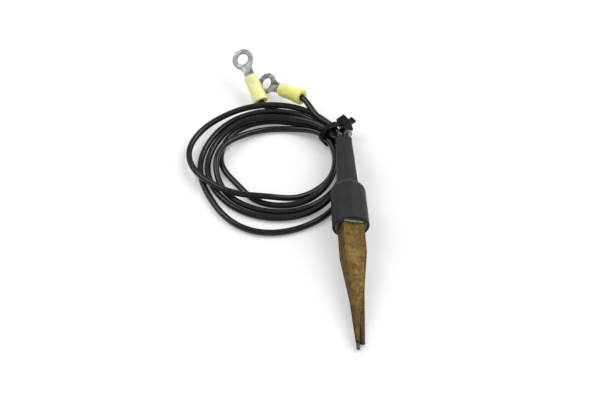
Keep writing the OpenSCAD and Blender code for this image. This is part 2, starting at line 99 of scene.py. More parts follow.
def even_finish(name, colour, rough_low, rough_high, grain, depth):
    """An even colour, with roughness that drifts between two values and fine bumps."""
    mat = bpy.data.materials.new(name)
    mat.use_nodes = True
    nodes, links = mat.node_tree.nodes, mat.node_tree.links
    shader = nodes["Principled BSDF"]
    shader.inputs["Base Color"].default_value = (*colour, 1)
    place = nodes.new("ShaderNodeTexCoord")
    drift = nodes.new("ShaderNodeTexNoise")
    drift.inputs["Scale"].default_value = 160
    drift.inputs["Detail"].default_value = 4
    spread = nodes.new("ShaderNodeMapRange")
    spread.inputs["From Min"].default_value = 0.3
    spread.inputs["From Max"].default_value = 0.7
    spread.inputs["To Min"].default_value = rough_low
    spread.inputs["To Max"].default_value = rough_high
    fine = nodes.new("ShaderNodeTexNoise")
    fine.inputs["Scale"].default_value = grain
    fine.inputs["Detail"].default_value = 3
    bump = nodes.new("ShaderNodeBump")
    bump.inputs["Strength"].default_value = 0.6
    bump.inputs["Distance"].default_value = depth
    links.new(place.outputs["Object"], drift.inputs["Vector"])
    links.new(drift.outputs["Fac"], spread.inputs["Value"])
    links.new(spread.outputs["Result"], shader.inputs["Roughness"])
    links.new(place.outputs["Object"], fine.inputs["Vector"])
    links.new(fine.outputs["Fac"], bump.inputs["Height"])
    links.new(bump.outputs["Normal"], shader.inputs["Normal"])
    return mat


def adjust(mat, values):
    """Sets a material's shader values by their names."""
    for socket, value in values.items():
        mat.node_tree.nodes["Principled BSDF"].inputs[socket].default_value = value


def rot(axis, degrees):
    """Turn about x, y or z by an angle, as a 3 by 3 matrix."""
    c, s = math.cos(math.radians(degrees)), math.sin(math.radians(degrees))
    return {
        "x": np.array([[1, 0, 0], [0, c, -s], [0, s, c]]),
        "y": np.array([[c, 0, s], [0, 1, 0], [-s, 0, c]]),
        "z": np.array([[c, -s, 0], [s, c, 0], [0, 0, 1]]),
    }[axis]


def grid_faces(rows, cols, wrap_rows=False):
    """Four-sided faces between rows of points: row i, column j joins its
    neighbours. The columns close on themselves, and so may the rows."""
    i = np.arange(rows if wrap_rows else rows - 1)[:, None]
    j = np.arange(cols)[None, :]
    this_row, next_row = i * cols, (i + 1) % rows * cols
    beside = (j + 1) % cols
    quads = np.stack([this_row + j, this_row + beside, next_row + beside, next_row + j], -1)
    return quads.reshape(-1, 4).tolist()


def surface(name, points, mat, body, wrap_rows=False, sharp=40):
    """A closed skin over rows of points, each row a closed ring.

    The rows either close on themselves, or each end is closed by a fan round
    its middle.
    """
    rows, cols = points.shape[:2]
    verts = points.reshape(-1, 3)
    faces = grid_faces(rows, cols, wrap_rows)
    if not wrap_rows:
        first, last = len(verts), len(verts) + 1
        verts = np.vstack([verts, points[0].mean(0), points[-1].mean(0)])
        ring = np.arange(cols)
        beside = (ring + 1) % cols
        top = (rows - 1) * cols
        faces += np.stack([ring * 0 + first, beside, ring], -1).tolist()
        faces += np.stack([ring * 0 + last, top + ring, top + beside], -1).tolist()
    return solid(name, verts, faces, mat, body, sharp)


def solid(name, verts, faces, mat, body, sharp=40):
    """A mesh object from points and faces that rides on a body. The faces are
    turned outwards by the sign of the volume that they enclose."""
    verts = np.asarray(verts, float)
    volume = 0.0
    for size in (3, 4):
        group = np.array([f for f in faces if len(f) == size], int).reshape(-1, size)
        for k in range(1, size - 1):
            a, b, c = verts[group[:, 0]], verts[group[:, k]], verts[group[:, k + 1]]
            volume += np.einsum("ij,ij->i", a, np.cross(b, c)).sum()
    if volume < 0:
        faces = [list(f)[::-1] for f in faces]
    mesh = bpy.data.meshes.new(name)
    mesh.from_pydata(verts.tolist(), [], [list(map(int, f)) for f in faces])
    mesh.shade_smooth()
    mesh.set_sharp_from_angle(angle=math.radians(sharp))
    mesh.materials.append(mat)
    piece = bpy.data.objects.new(name, mesh)
    scene.collection.objects.link(piece)
    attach(piece, body)
    return piece


def drawn_curve(handles, count):
    """The smooth curve that a chain of handles draws out: at a share t of the way,
    every two neighbours give the point at t between them, until one is left."""
    t = np.linspace(0, 1, count)[:, None]
    chain = [np.array(h, float)[None, :] + 0 * t for h in handles]
    while len(chain) > 1:
        chain = [a * (1 - t) + b * t for a, b in zip(chain[:-1], chain[1:])]
    return chain[0]


def stretch(start, start_dir, handles, end, end_dir):
    """A free stretch: straight for one diameter at both ends, curved between."""
    a, b = start + start_dir * WIRE, end - end_dir * WIRE
    return np.vstack([start, drawn_curve([a, *handles, b], 40), end])


def coil_line(turns):
    """A coil's centreline, through its lane and level at each eighth of a turn.

    Between two of them a cubic goes through both, with the slope at each one
    half the step from the one before it to the one after it. A lane is one
    pitch of radius, and a level one pitch of height.
    """
    p = np.array(turns, float)
    last = len(p) - 1
    s = np.arange(last * 12 + 1) / 12
    i = np.minimum(np.floor(s).astype(int), last - 1)
    t = (s - i)[:, None]
    p0, p1 = p[np.maximum(i - 1, 0)], p[i]
    p2, p3 = p[i + 1], p[np.minimum(i + 2, last)]
    lane, level = ((2 * p1 + (p2 - p0) * t + (2 * p0 - 5 * p1 + 4 * p2 - p3) * t ** 2
                    + (3 * p1 - 3 * p2 + p3 - p0) * t ** 3) / 2).T
    a = np.radians(TIE_ANGLE + 45 * s)
    r = COIL_RADIUS + PITCH * lane
    return np.stack([
        COIL_CENTRE[0] + r * np.cos(a),
        COIL_CENTRE[1] + r * np.sin(a),
        WIRE / 2 + PITCH * np.maximum(level, 0),
    ], -1)


def evened(line, step, spread):
    """The line at an even step, each point the mean of its neighbours weighted by
    a bell curve as wide as the spread. Past its ends the line goes on turned
    half round, so that they stay where they are."""
    for _ in range(2):
        run = np.concatenate([[0], np.cumsum(np.linalg.norm(np.diff(line, axis=0), axis=1))])
        s = np.linspace(0, run[-1], int(run[-1] / step) + 1)
        line = np.stack([np.interp(s, run, line[:, k]) for k in range(3)], -1)
    reach = int(3 * spread / step)
    weight = np.exp(-0.5 * (np.arange(-reach, reach + 1) * step / spread) ** 2)
    weight /= weight.sum()
    before = line[0] + (line[0] - line[1:reach + 1][::-1])
    after = line[-1] + (line[-1] - line[-reach - 1:-1][::-1])
    long = np.vstack([before, line, after])
    return np.stack([np.convolve(long[:, k], weight, "valid") for k in range(3)], -1)


def round_tube(line, radius):
    """Rings square to a line. Each ring's level side is square to the line's
    heading and to the upright, and its top is square to both."""
    heading = np.gradient(line, axis=0)
    heading /= np.linalg.norm(heading, axis=1)[:, None]
    side = np.cross(heading, [0, 0, 1.0])
    side /= np.linalg.norm(side, axis=1)[:, None]
    top = np.cross(side, heading)
    a = np.linspace(0, 2 * np.pi, TUBE_SIDES, endpoint=False)[None, :, None]
    return line[:, None] + radius * (side[:, None] * np.cos(a) + top[:, None] * np.sin(a))


def tie_slot(lane, level):
    """Where a lead passes the tie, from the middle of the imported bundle."""
    return [TIE_LANE + lane, TIE_LEVEL + level]


# Lane and level at each eighth of a turn: a pass through the tie, then seven
# places round the coil.
turns_a = [
    tie_slot(1, 0),
    [3.1, 1.3], [3.4, 1.35], [4.25, 0.7], [1.15, 1.15], [-1.15, 1.05], [-1.0, 0.1], [0.1, 0],
    tie_slot(-0.5, -ROW),
    [1.15, 0], [1.1, 0], [-0.25, 0], [-1.8, 0], [-0.8, 0], [0.15, 0.3], [0.45, 1.05],
    tie_slot(-1, 0),
    [-0.3, 0.05], [-0.65, 0.4], [0.05, 1.05], [0.3, 0.05], [0.55, 0], [1.15, 0], [1.5, 0],
    tie_slot(0.5, -ROW),
]
turns_b = [
    tie_slot(-0.5, ROW),
    [0.8, 1.2], [1.1, 1.2], [1.35, 0.2], [1.35, 0], [1.7, 0], [2.2, 0.3], [1.75, 1.15],
    tie_slot(0, 0),
    [2.15, 0.95], [2.3, 0.9], [2.4, 0.1], [2.6, 0], [4.45, 0], [3.75, 0], [2.95, 1.35],
    tie_slot(0.5, ROW),
]
coil_a, coil_b = coil_line(turns_a), coil_line(turns_b)

probe_axes = np.array([
    [1, 0, 0],
    [0, -math.sin(TILT), -math.cos(TILT)],
    [0, math.cos(TILT), -math.sin(TILT)],
])
exit_a = MOUTH + probe_axes @ [LEAD_PITCH / 2, 0, -PART_REACH]
exit_b = MOUTH + probe_axes @ [-LEAD_PITCH / 2, 0, -PART_REACH]
axis_up = np.array([0, math.cos(TILT), math.sin(TILT)])

# Where each terminal's rear end lies, and its heading, climb and roll.
terminal_place = {
    "a": (np.array([-0.0347, 0.0899, 0.0040]), (110.6, 20.3, -26)),
    "b": (np.array([-0.0162, 0.0862, 0.0093]), (133.8, -14.0, -41)),
}
terminal_axes = {
    k: rot("z", turn[0]) @ rot("y", -turn[1]) @ rot("x", turn[2])
    for k, (_, turn) in terminal_place.items()
}
lead_end = {k: terminal_place[k][0] + terminal_axes[k][:, 0] * GRIP_IN for k in "ab"}

# The free stretches bend along a few given handles, in millimetres.
mm = 0.001
line_a = np.vstack([
    stretch(exit_a, axis_up, mm * np.array([
        [0.6, 57.7, 14.7], [3.3, 58.2, 15.1], [4.7, 62, 8.3], [3.1, 62.4, 6.1]]),
        coil_a[0], TIE_DIR)[:-1],
    coil_a,
    stretch(coil_a[-1], TIE_DIR, mm * np.array([
        [-8.2, 73.1, 2.4], [-12.4, 77.9, -0.3], [-10, 85, 3.7],
        [-26.2, 83.2, 4.8], [-23.2, 86.1, -2.6], [-33.9, 85.5, 2.9]]),
        lead_end["a"], terminal_axes["a"][:, 0])[1:],
])
line_b = np.vstack([
    stretch(exit_b, axis_up, mm * np.array([
        [-1.6, 56.9, 15.2], [-0.3, 59.1, 11.5], [-2.1, 58.6, 9]]),
        coil_b[0], TIE_DIR)[:-1],
    coil_b,
    stretch(coil_b[-1], TIE_DIR, mm * np.array([
        [-5.7, 71.2, 8.2], [-13.7, 74, 7.5], [-10.6, 79.8, 9], [-15.6, 85.6, 9.5]]),
        lead_end["b"], terminal_axes["b"][:, 0])[1:],
])
RING_STEP = 0.0008
SMOOTHED_OVER = 0.0011
line_a = evened(line_a, RING_STEP, SMOOTHED_OVER)
line_b = evened(line_b, RING_STEP, SMOOTHED_OVER)

jacket = even_finish("lead_jacket", (0.0065, 0.0065, 0.0065), 0.15, 0.25, 2600, 0.00001)
adjust(jacket, {"Specular IOR Level": 0.34})
lead_a = surface("lead_a", round_tube(line_a, WIRE / 2), jacket, "handle")
lead_b = surface("lead_b", round_tube(line_b, WIRE / 2), jacket, "handle")
for piece, which in ((lead_a, "a"), (lead_b, "b")):
    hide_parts(f"lead_entry_{which}", f"lead_coil_{which}", f"lead_tail_{which}")


def dress(node, mat):
    """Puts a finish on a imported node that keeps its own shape."""
    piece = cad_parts[node]
    piece.data.materials.clear()
    piece.data.materials.append(mat)


for which in "ab":
    dress(f"sleeved_lead_{which}", jacket)


# ---------------------------------------- table and light
# A white table under a broad soft sky, with one large lamp on the right and a
# weaker one on the left.
TABLE_HALF = 2
floor_mesh = bpy.data.meshes.new("table")
corners = [(x * TABLE_HALF, y * TABLE_HALF, 0) for x, y in ((-1, -1), (1, -1), (1, 1), (-1, 1))]
floor_mesh.from_pydata(corners, [], [(0, 1, 2, 3)])
floor = bpy.data.objects.new("table", floor_mesh)
scene.collection.objects.link(floor)
table_white = bpy.data.materials.new("table_white")
table_white.use_nodes = True
nodes, links = table_white.node_tree.nodes, table_white.node_tree.links
shader = nodes["Principled BSDF"]
shader.inputs["Base Color"].default_value = (0.75, 0.75, 0.75, 1)
shader.inputs["Roughness"].default_value = 0.7
shader.inputs["Specular IOR Level"].default_value = 0.2
shader.inputs["Emission Color"].default_value = (1, 1, 1, 1)
# The camera sees the table a little brighter, straight on or mirrored.
seen = nodes.new("ShaderNodeLightPath")
seen_or_mirrored = nodes.new("ShaderNodeMath")
seen_or_mirrored.operation = "MAXIMUM"
lift = nodes.new("ShaderNodeMath")
lift.operation = "MULTIPLY"
lift.inputs[1].default_value = 0.23
links.new(seen.outputs["Is Camera Ray"], seen_or_mirrored.inputs[0])
links.new(seen.outputs["Is Glossy Ray"], seen_or_mirrored.inputs[1])
links.new(seen_or_mirrored.outputs["Value"], lift.inputs[0])
links.new(lift.outputs["Value"], shader.inputs["Emission Strength"])
floor_mesh.materials.append(table_white)

scene.view_settings.view_transform = "Standard"
world = bpy.data.worlds.new("soft_sky")
scene.world = world
world.use_nodes = True
sky = world.node_tree.nodes["Background"]
sky.inputs["Color"].default_value = (1, 1, 1, 1)
sky.inputs["Strength"].default_value = 0.57


def soft_lamp(name, place, target, size, power):
    """A square lamp that faces a point."""
    light = bpy.data.lights.new(name, "AREA")
    light.size = size
    light.energy = power
    lamp = bpy.data.objects.new(name, light)
    lamp.location = place
    lamp.rotation_euler = (Vector(target) - Vector(place)).to_track_quat("-Z", "Y").to_euler()
    scene.collection.objects.link(lamp)


soft_lamp("lamp_right", (0.88, 0.40, 1.20), (0, 0.02, 0), 1.0, 10.9)
soft_lamp("lamp_left", (-0.96, 0.56, 1.28), (-0.02, 0.03, 0), 0.9, 8.2)


# ---------------------------------------- grip sleeve
# A thick heat-shrink tube, satin dark grey, drawn in behind the fingers to a
# round shoulder. Its cut ends show: a soft rim at the mouth, and a thin raised
# lip where it grips the lead sleeve, with a painted highlight along it.
MOUTH_R = 0.0078
SHOULDER_R = 0.00745
SHOULDER_BEND = 0.0032
BEND_MIDDLE = np.array([SHOULDER_R - SHOULDER_BEND, SHOULDER_BEND - GRIP_LEN])
GRIP_WALL = 0.0009
NECK_R = 0.0047  # of the lead sleeve, where it comes out
NECK_GAP = 0.0001
RIM = 0.00035  # rounding of the mouth's outer edge
INNER_RIM = 0.0002
CUT_ANGLE = -64  # where the cut edge lies on the shoulder's arc, in degrees
CUT_SPREAD = 5  # in degrees too
CUT_RISE = 0.0003
SLEEVE_SIDES = 96


def arc(centre, radius, first, last, count):
    """Points of an arc, angles in degrees."""
    a = np.radians(np.linspace(first, last, count))
    return np.stack([centre[0] + radius * np.cos(a), centre[1] + radius * np.sin(a)], -1)


def straight_run(start, end, count):
    """Points of a straight run, both ends included."""
    return np.linspace(np.array(start, float), np.array(end, float), count)


def turned(profile, around, uneven=None):
    """A profile of (radius, reach) carried round the z axis.

    uneven is a function of angle and reach that gives what is added to the radius.
    """
    a = np.linspace(0, 2 * np.pi, around, endpoint=False)[None, :]
    r, z = profile[:, :1], profile[:, 1:]
    r = r + (uneven(a, z) if uneven else 0 * a)
    return np.stack([r * np.cos(a), r * np.sin(a), z + 0 * a], -1)


def in_probe(points, roll=0.0):
    """Points of the probe's own frame (x right, y up, z to the tip) in the part's."""
    return MOUTH + points @ (probe_axes @ rot("z", roll)).T


def shrunk(angle, reach):
    """Small lengthwise waves left by shrinking: two sines round the tube that
    drift along it, a few hundredths of a millimetre high."""
    return 0.00003 * np.sin(3 * angle + 90 * reach) + 0.00002 * np.sin(5 * angle - 260 * reach)


def tinted(mat, dark, pale, scale):
    """Replaces the even colour by one that drifts from dark to pale with a noise."""
    nodes, links = mat.node_tree.nodes, mat.node_tree.links
    place = nodes.new("ShaderNodeTexCoord")
    cloud = nodes.new("ShaderNodeTexNoise")
    cloud.inputs["Scale"].default_value = scale
    cloud.inputs["Detail"].default_value = 6
    cloud.inputs["Roughness"].default_value = 0.6
    ramp = nodes.new("ShaderNodeValToRGB")
    ramp.color_ramp.elements[0].position = 0.35
    ramp.color_ramp.elements[0].color = (*dark, 1)
    ramp.color_ramp.elements[1].position = 0.7
    ramp.color_ramp.elements[1].color = (*pale, 1)
    links.new(place.outputs["Object"], cloud.inputs["Vector"])
    links.new(cloud.outputs["Fac"], ramp.inputs["Fac"])
    links.new(ramp.outputs["Color"], nodes["Principled BSDF"].inputs["Base Color"])
    return mat


def overlaid(mat, colour, amount):
    """Mixes a colour over the base colour, by the amount that a socket gives."""
    nodes, links = mat.node_tree.nodes, mat.node_tree.links
    base = nodes["Principled BSDF"].inputs["Base Color"]
    mix = nodes.new("ShaderNodeMix")
    mix.data_type = "RGBA"
    links.new(amount, mix.inputs["Factor"])
    links.new(base.links[0].from_socket, mix.inputs["A"])
    mix.inputs["B"].default_value = (*colour, 1)
    links.new(mix.outputs["Result"], base)
    return mat


def shoulder(angle):
    """Points of the shoulder's arc at angles in degrees, with a thin lip raised
    along the cut edge: a bell curve of the angle about CUT_ANGLE."""
    lip = CUT_RISE * np.exp(-((angle - CUT_ANGLE) / CUT_SPREAD) ** 2)
    facing = np.stack([np.cos(np.radians(angle)), np.sin(np.radians(angle))], -1)
    return BEND_MIDDLE + (SHOULDER_BEND + lip)[:, None] * facing


sleeve_grey = even_finish("sleeve_grey", (0.020, 0.021, 0.023), 0.5, 0.62, 1500, 0.00003)
tinted(sleeve_grey, (0.016, 0.0185, 0.017), (0.0265, 0.026, 0.031), 120)
adjust(sleeve_grey, {"Specular IOR Level": 0.22})

# From the mouth's rim back over the outside, in at the neck, and forward along the bore.
neck_bore, mouth_bore = NECK_R + NECK_GAP, MOUTH_R - GRIP_WALL
grip_profile = np.vstack([
    arc((MOUTH_R - RIM, -RIM), RIM, 90, 0, 6),
    straight_run((MOUTH_R - 0.00002, -0.001), (SHOULDER_R, BEND_MIDDLE[1]), 14)[:-1],
    shoulder(np.linspace(0, -76, 39)),
    [[neck_bore + 0.00004, 0.00016 - GRIP_LEN], [neck_bore, 0.0003 - GRIP_LEN],
     [neck_bore, 0.0009 - GRIP_LEN]],
    arc(BEND_MIDDLE, SHOULDER_BEND - GRIP_WALL, -74, 0, 10),
    straight_run((SHOULDER_R - GRIP_WALL, BEND_MIDDLE[1] + SHOULDER_BEND),
                 (mouth_bore, -2 * INNER_RIM), 8),
    arc((mouth_bore + INNER_RIM, -INNER_RIM), INNER_RIM, 180, 90, 4),
])
grip = surface("grip_sleeve_skin", in_probe(turned(grip_profile, SLEEVE_SIDES, shrunk)),
               sleeve_grey, "handle", wrap_rows=True, sharp=60)
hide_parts("grip_sleeve")

# A painted highlight along the lip: the attribute is 1 along it and falls off as a bell curve
# beside it.
EDGE_WIDTH = 0.00026
from_edge = np.hypot(*(grip_profile - shoulder(np.array([CUT_ANGLE]))).T)
highlight_weight = np.repeat(np.exp(-(from_edge / EDGE_WIDTH) ** 2), SLEEVE_SIDES)
grip.data.attributes.new("lip_highlight", "FLOAT", "POINT").data.foreach_set("value", highlight_weight)
lip_highlight = sleeve_grey.node_tree.nodes.new("ShaderNodeAttribute")
lip_highlight.attribute_name = "lip_highlight"
# The painted highlight: a pale grey mixed over the sleeve's colour along the lip.
overlaid(sleeve_grey, (0.17, 0.17, 0.165), lip_highlight.outputs["Fac"])


# ---------------------------------------- lead sleeve
# A thinner shrunk tube, tucked into the grip sleeve. It runs from a round neck
# down onto the two leads, and its rear lip stands a little proud of them.
LEAD_WALL = 0.0005
BOND = 0.0001  # between a lead and the sleeve
TUCK = 0.0026  # length inside the grip sleeve
TAIL_R = WIRE / 2 + BOND + LEAD_WALL  # round each lead at the rear end
REAR_LIP = 0.00012  # height of the lip there, and how far it stands back
LIP_SPREAD = 0.0012  # length over which it rises
REAR_EDGE = 0.00014  # rounding of the cut end


def lead_sleeve_rings(reach, inside):
    """Two half circles drawn apart as the sleeve runs back onto the leads.

    The radius falls from the neck's to the tail's, less inside, which is 0 on
    the outside and the wall on the bore. The half circles part by the leads'
    spacing: the angle's cosine, doubled and held to 1, carries each point over
    to its own half.
    """
    t = np.clip((-reach - GRIP_LEN) / (REAR_REACH - GRIP_LEN), 0, 1)[:, None]
    a = np.linspace(0, 2 * np.pi, SLEEVE_SIDES, endpoint=False)[None, :]
    lip = REAR_LIP * np.exp(-((reach[:, None] + REAR_REACH) / LIP_SPREAD) ** 2)
    r = NECK_R * (1 - t) + TAIL_R * t - inside[:, None] + lip
    r = r + 0.00004 * np.sin(4 * a + 500 * reach[:, None]) * t
    apart = LEAD_PITCH / 2 * t
    x = r * np.cos(a) + apart * np.clip(2 * np.cos(a), -1, 1)
    return np.stack([x, r * np.sin(a), reach[:, None] + 0 * a], -1)


down = np.linspace(TUCK - GRIP_LEN, -REAR_REACH, 44)
rear_end = -REAR_REACH - REAR_LIP
lead_sleeve = surface("lead_sleeve_skin", in_probe(lead_sleeve_rings(
    reach=np.concatenate([down, [rear_end, rear_end], down[::-1]]),
    inside=np.concatenate([0 * down, [REAR_EDGE, LEAD_WALL - REAR_EDGE], LEAD_WALL + 0 * down]),
)), sleeve_grey, "handle", wrap_rows=True, sharp=60)
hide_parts("lead_sleeve")


# ---------------------------------------- blades
# Each blade is one folded channel of thin brass sheet, tarnished olive brown
# with red-brown specks. The lower is the upper turned half round.
BLADE_LEN = 0.055  # from the mouth to the nose
STRAIGHT = 0.014  # length of full width in front of the mouth
ROOT = 0.008  # depth inside the grip sleeve
BLADE_W = 0.0096
NOSE_W = 0.0026
PAIR_H = 0.0091  # of the closed pair at the mouth
NOSE_H = 0.0026  # of the closed pair at the noses
SHEET = 0.0005
FOLD = 0.0013  # outside radius of the folds
SEAM_GAP = 0.0004  # between the blades at the mouth
SEAM_END = 0.0012  # between the blades at the noses
RUNOUT = 0.014  # from the nose to where the inner flange starts to run out
DRAW_IN = 0.006  # from the nose to where it has drawn in
FOOT = 0.0001  # what is left of a flange that has run out
BLADE_ROLL = -15.0  # of the pair about the probe's axis, in degrees
PIN_D = 0.00155
PIN_GAP = 0.00025  # between the two pins
TANG_W = 0.0044
TANG_LEN = 0.005
WORN = 0.00009  # bevel along the edges


def ramp01(x, low, high):
    """0 before low, 1 after high, and a straight rise between."""
    return np.clip((x - low) / (high - low), 0, 1)


def channel_size(z):
    """A blade's half width, the shift of its middle towards its own pin, its
    height over the pair's middle, and half the seam, all at reach z."""
    taper = ramp01(z, STRAIGHT, BLADE_LEN)
    half = (BLADE_W * (1 - taper) + NOSE_W * taper) / 2
    shift = -(PIN_D + PIN_GAP) / 2 * taper
    height = (PAIR_H * (1 - taper) + NOSE_H * taper) / 2
    seam = SEAM_GAP / 2 + (SEAM_END - SEAM_GAP) / 2 * ramp01(z, 0, BLADE_LEN)
    return half, shift, height, seam


def channel_rings(z):
    """Section of the folded sheet at each reach: outside left foot, over the
    top with two round folds, right foot, and back along the inside.

    The outer edge tapers evenly to the nose, and the inner edge draws in
    behind it to give the other blade's pin its room. About its middle the
    outside is a wide each way and h high, with folds of radius r, and the
    inside is b wide each way and g high, with folds of radius q. The outer
    foot stops at the height far, and the inner one at near.
    """
    z = z[:, None]
    half, shift, h, seam = channel_size(z)
    room = ramp01(z, BLADE_LEN - RUNOUT, BLADE_LEN - DRAW_IN)
    outer = shift - half
    inner = (shift + half) * (1 - room) - PIN_GAP / 2 * room
    a, middle = (inner - outer) / 2, (inner + outer) / 2
    far = np.minimum(seam, h - SHEET - FOOT)
    near = np.minimum(seam * (1 - room) + (h - SHEET) * room, h - SHEET - FOOT)
    r = np.minimum(np.minimum(FOLD, a * 0.8), h - near - FOOT / 2)
    q = np.maximum(r - SHEET, FOOT / 2)
    b, g = a - SHEET, h - SHEET
    up = np.radians(np.linspace(180, 90, 7))[None, :]
    on = np.radians(np.linspace(90, 0, 7))[None, :]
    x = np.hstack([-a, r - a + r * np.cos(up), a - r + r * np.cos(on), a,
                   b, b - q + q * np.cos(on[:, ::-1]), q - b + q * np.cos(up[:, ::-1]), -b])
    y = np.hstack([far, h - r + r * np.sin(up), h - r + r * np.sin(on), near,
                   near, g - q + q * np.sin(on[:, ::-1]), g - q + q * np.sin(up[:, ::-1]), far])
    return np.stack([x + middle, y, z + 0 * x], -1)


def tang():
    """Corners and sides of the flat solder tang behind a blade's root."""
    x = (-TANG_W / 2, TANG_W / 2)
    y = (PAIR_H / 2 - SHEET, PAIR_H / 2 - 0.00001)
    z = (-ROOT - TANG_LEN, 0.001 - ROOT)
    corners = np.array([[i, j, k] for k in z for j in y for i in x])
    sides = [[2, 3, 1, 0], [5, 7, 6, 4], [1, 5, 4, 0], [6, 7, 3, 2], [4, 6, 2, 0], [3, 7, 5, 1]]
    return corners, sides


def blade_mesh(name, roll, body):
    """The channel, closed at both ends between its outside and its inside, and
    the tang behind it."""
    z = np.concatenate([np.linspace(-ROOT, STRAIGHT, 12), np.linspace(STRAIGHT, BLADE_LEN, 44)[1:]])
    rings = channel_rings(z)
    rows, cols = rings.shape[:2]
    k = np.arange(cols // 2 - 1)
    rear = np.stack([k, cols - 1 - k, cols - 2 - k, k + 1], -1)
    nose = (rear + (rows - 1) * cols)[:, ::-1]
    corners, sides = tang()
    faces = grid_faces(rows, cols) + rear.tolist() + nose.tolist()
    faces += (np.array(sides) + rows * cols).tolist()
    verts = in_probe(np.vstack([rings.reshape(-1, 3), corners]), roll)
    piece = solid(name, verts, faces, brass, body, sharp=35)
    edge = piece.modifiers.new("worn_edges", "BEVEL")
    edge.width = WORN
    edge.segments = 2
    edge.limit_method = "ANGLE"
    edge.angle_limit = math.radians(60)
    return piece


def along_probe(mat, start, end):
    """A share that goes from 0 to 1 as the Object coordinate y goes from start to end."""
    nodes, links = mat.node_tree.nodes, mat.node_tree.links
    place = nodes.new("ShaderNodeTexCoord")
    along = nodes.new("ShaderNodeSeparateXYZ")
    share = nodes.new("ShaderNodeMapRange")
    share.inputs["From Min"].default_value = start
    share.inputs["From Max"].default_value = end
    links.new(place.outputs["Object"], along.inputs["Vector"])
    links.new(along.outputs["Y"], share.inputs["Value"])
    return share


def tarnished_brass():
    """Brown tarnish over brass: broad clouds, then red-brown patches, ochre spots and
    dark specks laid over them. It darkens evenly towards the tip."""
    mat = bpy.data.materials.new("tarnished_brass")
    mat.use_nodes = True
    nodes, links = mat.node_tree.nodes, mat.node_tree.links
    shader = nodes["Principled BSDF"]
    adjust(mat, {"Metallic": 0.7, "Specular IOR Level": 0.25,
                 "Specular Tint": (0.62, 0.50, 0.32, 1)})
    place = nodes.new("ShaderNodeTexCoord")

    def cloud(scale, detail, low, high):
        """A noise, spread out so that low becomes 0 and high becomes 1."""
        noise = nodes.new("ShaderNodeTexNoise")
        noise.inputs["Scale"].default_value = scale
        noise.inputs["Detail"].default_value = detail
        noise.inputs["Roughness"].default_value = 0.6
        spread = nodes.new("ShaderNodeMapRange")
        spread.inputs["From Min"].default_value = low
        spread.inputs["From Max"].default_value = high
        links.new(place.outputs["Object"], noise.inputs["Vector"])
        links.new(noise.outputs["Fac"], spread.inputs["Value"])
        return spread.outputs["Result"]

    start = nodes.new("ShaderNodeMix")
    start.data_type = "RGBA"
    start.inputs["A"].default_value = (0.112, 0.075, 0.023, 1)
    start.inputs["B"].default_value = (0.186, 0.130, 0.040, 1)
    links.new(cloud(150, 4, 0.35, 0.65), start.inputs["Factor"])
    links.new(start.outputs["Result"], shader.inputs["Base Color"])
    overlaid(mat, (0.120, 0.064, 0.029), cloud(190, 3, 0.47, 0.60))
    overlaid(mat, (0.105, 0.056, 0.012), cloud(430, 2, 0.57, 0.68))
    overlaid(mat, (0.035, 0.018, 0.008), cloud(620, 2, 0.63, 0.71))
    near_tip = along_probe(mat, -0.024, -0.050)
    near_tip.inputs["To Max"].default_value = 0.75
    overlaid(mat, (0.045, 0.030, 0.013), near_tip.outputs["Result"])
    rough = nodes.new("ShaderNodeMapRange")
    rough.inputs["To Min"].default_value = 0.42
    rough.inputs["To Max"].default_value = 0.62
    links.new(cloud(700, 4, 0.3, 0.7), rough.inputs["Value"])
    links.new(rough.outputs["Result"], shader.inputs["Roughness"])
    bump = nodes.new("ShaderNodeBump")
    bump.inputs["Strength"].default_value = 0.5
    bump.inputs["Distance"].default_value = 0.00004
    links.new(cloud(1800, 3, 0.2, 0.8), bump.inputs["Height"])
    links.new(bump.outputs["Normal"], shader.inputs["Normal"])
    return mat


brass = tarnished_brass()
ARM_ROLL = {"upper": BLADE_ROLL, "lower": BLADE_ROLL + 180}
for which, roll in ARM_ROLL.items():
    blade = blade_mesh(f"{which}_blade_sheet", roll, f"{which}_arm")
    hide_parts(f"{which}_blade")


# ---------------------------------------- contact pins
# Round-nosed steel pins, brazed side by side under the noses. The upper one
# reaches further, and a little braze has run along each.
PIN_SEAT = 0.012  # length brazed under the nose
PIN_REACH = {"upper": 0.0032, "lower": 0.0009}  # past the blade's nose
PIN_SIDE = -(PIN_D + PIN_GAP) / 2  # of a pin's middle, from the probe's axis
SWELL = 0.00011  # of the braze round a pin
SWELL_BEHIND = 0.0004  # from the nose back to its highest place
SWELL_SPREAD = 0.0007
BRAZE_LEN = 0.0152
BRAZE_START = 0.0012  # length over which the braze swells to its full section


def metal_finish(name, dark, pale, scale, rough_low, rough_high, metallic):
    """Dull metal, finely pitted: the colour and the roughness drift."""
    mat = even_finish(name, pale, rough_low, rough_high, 2400, 0.00002)
    adjust(mat, {"Metallic": metallic})
    return tinted(mat, dark, pale, scale)


def heated_steel():
    """Steel that brazing has turned brown, worn back to grey over the last
    millimetres of the noses."""
    mat = metal_finish("pin_steel", (0.046, 0.032, 0.020), (0.088, 0.064, 0.042), 700,
                       0.42, 0.6, 0.7)
    adjust(mat, {"Specular IOR Level": 0.25})
    worn = along_probe(mat, -0.0487, -0.0512)
    return overlaid(mat, (0.115, 0.108, 0.10), worn.outputs["Result"])


pin_steel = heated_steel()
nose_slope = math.atan((PAIR_H - NOSE_H) / 2 / (BLADE_LEN - STRAIGHT))


